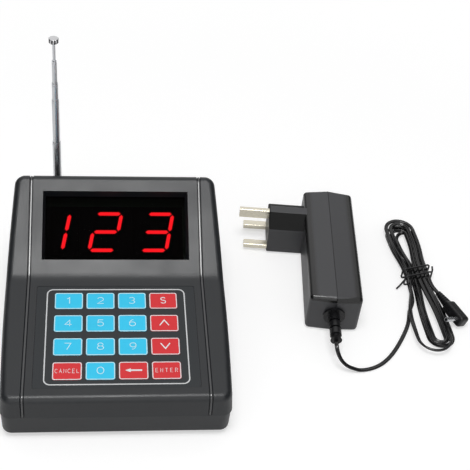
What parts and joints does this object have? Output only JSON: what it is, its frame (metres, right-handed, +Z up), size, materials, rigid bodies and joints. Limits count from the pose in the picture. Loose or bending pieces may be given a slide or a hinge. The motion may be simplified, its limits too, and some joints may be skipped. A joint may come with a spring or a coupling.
{
  "type": "guest pager system",
  "caption": "Guest pager console with sloped display, membrane keypad and telescopic antenna, with a plug-in adapter, tied cord and right-angle coaxial plug.",
  "frame": {"origin": "centre of the bounding box of the console and adapter, cord pieces left out, on the surface that the set stands on", "axes": "+X to the console's right (towards the adapter), +Y to its rear, +Z up"},
  "size_m": [0.3333, 0.2096, 0.1848],
  "materials": {
    "console_case": "fine matte texture",
    "foot": "matte",
    "screw": "plain",
    "lens": "dark tinted, glossy",
    "digit_body": "glossy black",
    "digit_lit": "glowing red",
    "circuit_board": "solder mask",
    "component": "matte",
    "membrane": "fine satin film",
    "membrane_sheet": "clear film",
    "dome": "plain",
    "key_number": "satin film",
    "key_command": "satin film",
    "shield": "plain",
    "lead": "matte",
    "antenna_metal": "polished",
    "hinge_metal": "polished",
    "adapter_case": "satin",
    "pin_metal": "plain",
    "boot": "satin",
    "cord": "satin",
    "tie_wire": "satin",
    "barrel": "polished"
  },
  "bodies": {
    "housing": {"upper_housing": "console_case", "base_housing": "console_case", "rubber_feet": "foot", "case_screws": "screw", "display_lens": "lens", "digit_modules": "digit_body", "lit_segments": "digit_lit", "display_board": "circuit_board", "display_screws": "screw", "board_screws": "screw", "keypad_circuit": "membrane_sheet", "keypad_spacer": "membrane_sheet", "keypad_overlay": "membrane", "snap_domes": "dome", "main_board": "circuit_board", "board_parts": "component", "buzzer": "component", "radio_module": "shield", "keypad_tail": "membrane_sheet", "dc_jack": "component", "antenna_lead": "lead", "adapter_case_left": "adapter_case", "adapter_case_right": "adapter_case", "plug_block": "adapter_case", "power_pins": "pin_metal", "earth_pin": "pin_metal", "adapter_board": "circuit_board", "adapter_parts": "component", "cord_boot": "boot", "cord_hank": "cord", "power_cord": "cord", "hank_tie": "tie_wire", "plug_body": "boot", "plug_barrel": "barrel"},
    "press_1": {"key_1": "key_number"},
    "press_2": {"key_2": "key_number"},
    "press_3": {"key_3": "key_number"},
    "press_s": {"key_s": "key_command"},
    "press_4": {"key_4": "key_number"},
    "press_5": {"key_5": "key_number"},
    "press_6": {"key_6": "key_number"},
    "press_up": {"key_up": "key_command"},
    "press_7": {"key_7": "key_number"},
    "press_8": {"key_8": "key_number"},
    "press_9": {"key_9": "key_number"},
    "press_down": {"key_down": "key_command"},
    "press_cancel": {"key_cancel": "key_command"},
    "press_0": {"key_0": "key_number"},
    "press_left": {"key_left": "key_command"},
    "press_enter": {"key_enter": "key_command"},
    "swivel": {"antenna_screw": "screw", "antenna_swivel": "hinge_metal", "antenna_pin": "hinge_metal"},
    "mast": {"antenna_knuckle": "hinge_metal", "antenna_tube_one": "antenna_metal"},
    "mast_two": {"antenna_tube_two": "antenna_metal"},
    "mast_three": {"antenna_tube_three": "antenna_metal"},
    "mast_four": {"antenna_tube_four": "antenna_metal"},
    "mast_tip": {"antenna_rod": "antenna_metal", "antenna_tip": "antenna_metal"}
  },
  "joints": [
    {"name": "key_1_press", "type": "slide", "parent": "housing", "child": "press_1", "axis": [0, 0.0802, -0.9968], "range_m": [0, 0.00035], "stiffness_N_per_m": 1000},
    {"name": "key_2_press", "type": "slide", "parent": "housing", "child": "press_2", "axis": [0, 0.0802, -0.9968], "range_m": [0, 0.00035], "stiffness_N_per_m": 1000},
    {"name": "key_3_press", "type": "slide", "parent": "housing", "child": "press_3", "axis": [0, 0.0802, -0.9968], "range_m": [0, 0.00035], "stiffness_N_per_m": 1000},
    {"name": "key_s_press", "type": "slide", "parent": "housing", "child": "press_s", "axis": [0, 0.0802, -0.9968], "range_m": [0, 0.00035], "stiffness_N_per_m": 1000},
    {"name": "key_4_press", "type": "slide", "parent": "housing", "child": "press_4", "axis": [0, 0.0802, -0.9968], "range_m": [0, 0.00035], "stiffness_N_per_m": 1000},
    {"name": "key_5_press", "type": "slide", "parent": "housing", "child": "press_5", "axis": [0, 0.0802, -0.9968], "range_m": [0, 0.00035], "stiffness_N_per_m": 1000},
    {"name": "key_6_press", "type": "slide", "parent": "housing", "child": "press_6", "axis": [0, 0.0802, -0.9968], "range_m": [0, 0.00035], "stiffness_N_per_m": 1000},
    {"name": "key_up_press", "type": "slide", "parent": "housing", "child": "press_up", "axis": [0, 0.0802, -0.9968], "range_m": [0, 0.00035], "stiffness_N_per_m": 1000},
    {"name": "key_7_press", "type": "slide", "parent": "housing", "child": "press_7", "axis": [0, 0.0802, -0.9968], "range_m": [0, 0.00035], "stiffness_N_per_m": 1000},
    {"name": "key_8_press", "type": "slide", "parent": "housing", "child": "press_8", "axis": [0, 0.0802, -0.9968], "range_m": [0, 0.00035], "stiffness_N_per_m": 1000},
    {"name": "key_9_press", "type": "slide", "parent": "housing", "child": "press_9", "axis": [0, 0.0802, -0.9968], "range_m": [0, 0.00035], "stiffness_N_per_m": 1000},
    {"name": "key_down_press", "type": "slide", "parent": "housing", "child": "press_down", "axis": [0, 0.0802, -0.9968], "range_m": [0, 0.00035], "stiffness_N_per_m": 1000},
    {"name": "key_cancel_press", "type": "slide", "parent": "housing", "child": "press_cancel", "axis": [0, 0.0802, -0.9968], "range_m": [0, 0.00035], "stiffness_N_per_m": 1000},
    {"name": "key_0_press", "type": "slide", "parent": "housing", "child": "press_0", "axis": [0, 0.0802, -0.9968], "range_m": [0, 0.00035], "stiffness_N_per_m": 1000},
    {"name": "key_left_press", "type": "slide", "parent": "housing", "child": "press_left", "axis": [0, 0.0802, -0.9968], "range_m": [0, 0.00035], "stiffness_N_per_m": 1000},
    {"name": "key_enter_press", "type": "slide", "parent": "housing", "child": "press_enter", "axis": [0, 0.0802, -0.9968], "range_m": [0, 0.00035], "stiffness_N_per_m": 1000},
    {"name": "antenna_swivel", "type": "hinge", "parent": "housing", "child": "swivel", "pos_m": [-0.09601, 0.07474, 0.052], "axis": [0, 1, 0], "range_deg": [-90, 90]},
    {"name": "antenna_tilt", "type": "hinge", "parent": "swivel", "child": "mast", "pos_m": [-0.09601, 0.07474, 0.052], "axis": [1, 0, 0], "range_deg": [-90, 0]},
    {"name": "mast_two_slide", "type": "slide", "parent": "mast", "child": "mast_two", "axis": [0, 0, 1], "range_m": [-0.0356, 0.002]},
    {"name": "mast_three_slide", "type": "slide", "parent": "mast_two", "child": "mast_three", "axis": [0, 0, 1], "range_m": [-0.0138, 0.022]},
    {"name": "mast_four_slide", "type": "slide", "parent": "mast_three", "child": "mast_four", "axis": [0, 0, 1], "range_m": [-0.0174, 0.0184]},
    {"name": "mast_tip_slide", "type": "slide", "parent": "mast_four", "child": "mast_tip", "axis": [0, 0, 1], "range_m": [-0.0141, 0.0236]}
  ]
}
